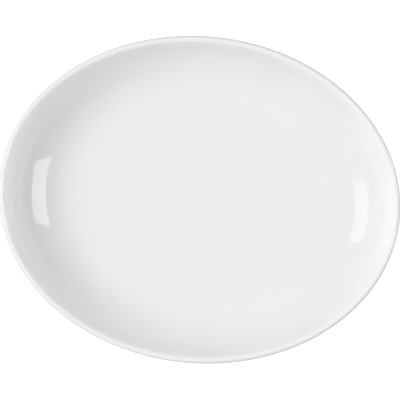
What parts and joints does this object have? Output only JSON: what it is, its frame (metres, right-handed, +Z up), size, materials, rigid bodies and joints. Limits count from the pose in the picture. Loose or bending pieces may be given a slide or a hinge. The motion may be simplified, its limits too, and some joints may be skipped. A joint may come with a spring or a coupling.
{
  "type": "oval plate",
  "caption": "Oval white porcelain plate with a flat floor, a deep curved wall, a rounded lip and an oval foot ring, for serving or holding food.",
  "frame": {"origin": "on the standing plane, under the middle of the plate", "axes": "+X along the length of the oval, +Y across its width, +Z up out of the open well"},
  "size_m": [0.32, 0.26, 0.044],
  "materials": {
    "glazed_porcelain": "clear gloss glaze, with the standing face of the foot ring ground bare"
  },
  "bodies": {
    "root": {"plate": "glazed_porcelain"}
  },
  "joints": []
}
